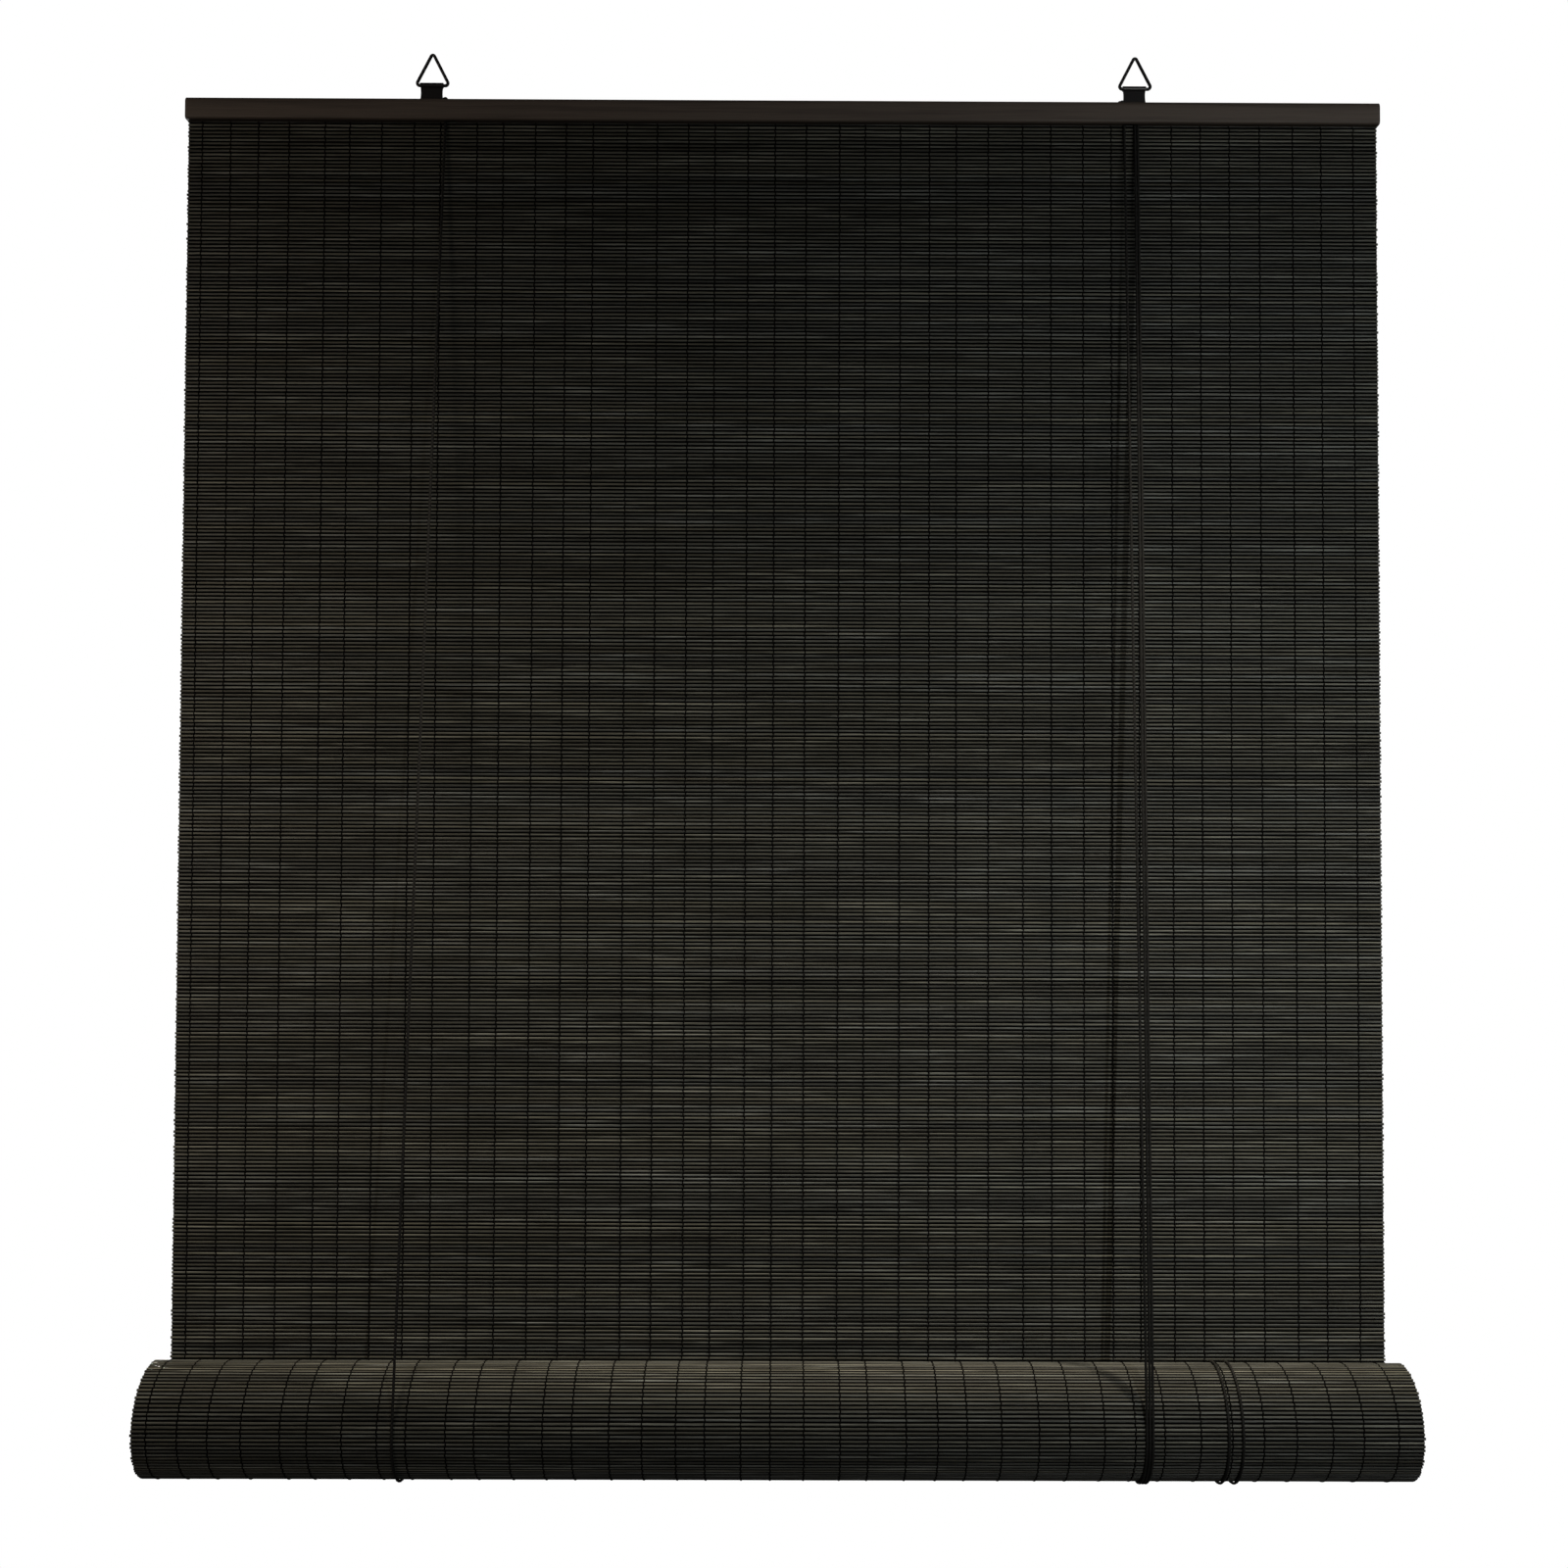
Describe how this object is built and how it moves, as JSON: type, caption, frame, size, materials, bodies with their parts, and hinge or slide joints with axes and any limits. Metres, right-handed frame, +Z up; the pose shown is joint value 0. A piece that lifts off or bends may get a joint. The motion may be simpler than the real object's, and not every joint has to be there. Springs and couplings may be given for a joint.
{
  "type": "bamboo roll-up blind",
  "caption": "Dark stained bamboo blind, rolled up part of the way in two lift cords, with a batten headrail and wire hanging rings.",
  "frame": {"origin": "middle of the headrail's flat back face, which lies against the wall", "axes": "+X to the right seen from the front, +Y into the wall, +Z up"},
  "size_m": [0.9, 0.09, 1.0527],
  "materials": {
    "stained_batten": "dark stain, satin",
    "bamboo_slats": "dark stain, satin, each slat a little different",
    "warp_thread": "matt cotton",
    "dark_steel": "blackened, glossy",
    "lift_cord": "braided, matt"
  },
  "bodies": {
    "headrail": {"front_batten": "stained_batten", "rear_batten": "stained_batten", "headrail_screws": "dark_steel", "left_hanger_strap": "dark_steel", "right_hanger_strap": "dark_steel", "left_guide_peg": "dark_steel", "right_guide_peg": "dark_steel", "hanging_mat": "bamboo_slats", "hanging_threads": "warp_thread", "left_cord_knot": "lift_cord", "right_cord_knot": "lift_cord", "left_cord_run": "lift_cord", "right_cord_turn": "lift_cord", "left_cord_front": "lift_cord", "right_cord_front": "lift_cord", "left_tail_fall": "lift_cord", "right_tail_fall": "lift_cord", "left_cord_back": "lift_cord", "right_cord_back": "lift_cord"},
    "left_ring": {"left_hanger_ring": "dark_steel"},
    "right_ring": {"right_hanger_ring": "dark_steel"},
    "cord_sling": {"left_cord_wrap": "lift_cord", "right_cord_wrap": "lift_cord", "left_tail_wrap": "lift_cord", "right_tail_wrap": "lift_cord", "tail_knots": "lift_cord"},
    "roll": {"rolled_mat": "bamboo_slats", "bottom_batten": "stained_batten"}
  },
  "joints": [
    {"name": "left_ring_swing", "type": "hinge", "parent": "headrail", "child": "left_ring", "pos_m": [-0.2654, -0.0079, 0.02], "axis": [1, 0, 0], "range_deg": [-120, 120]},
    {"name": "right_ring_swing", "type": "hinge", "parent": "headrail", "child": "right_ring", "pos_m": [0.2666, -0.0079, 0.02], "axis": [1, 0, 0], "range_deg": [-120, 120]},
    {"name": "roll_lift", "type": "slide", "parent": "headrail", "child": "cord_sling", "axis": [0, 0, 1], "range_m": [0, 0.88], "deforming": ["hanging_mat", "hanging_threads", "left_cord_front", "right_cord_front", "left_tail_fall", "right_tail_fall", "left_cord_back", "right_cord_back"]},
    {"name": "roll_turn", "type": "hinge", "parent": "cord_sling", "child": "roll", "pos_m": [0, -0.0473, -0.9655], "axis": [1, 0, 0], "range_deg": [-1080, 0]}
  ],
  "couplings": [
    {"joint": "roll_turn", "follows": "roll_lift", "rad_per_m": -21.42}
  ]
}
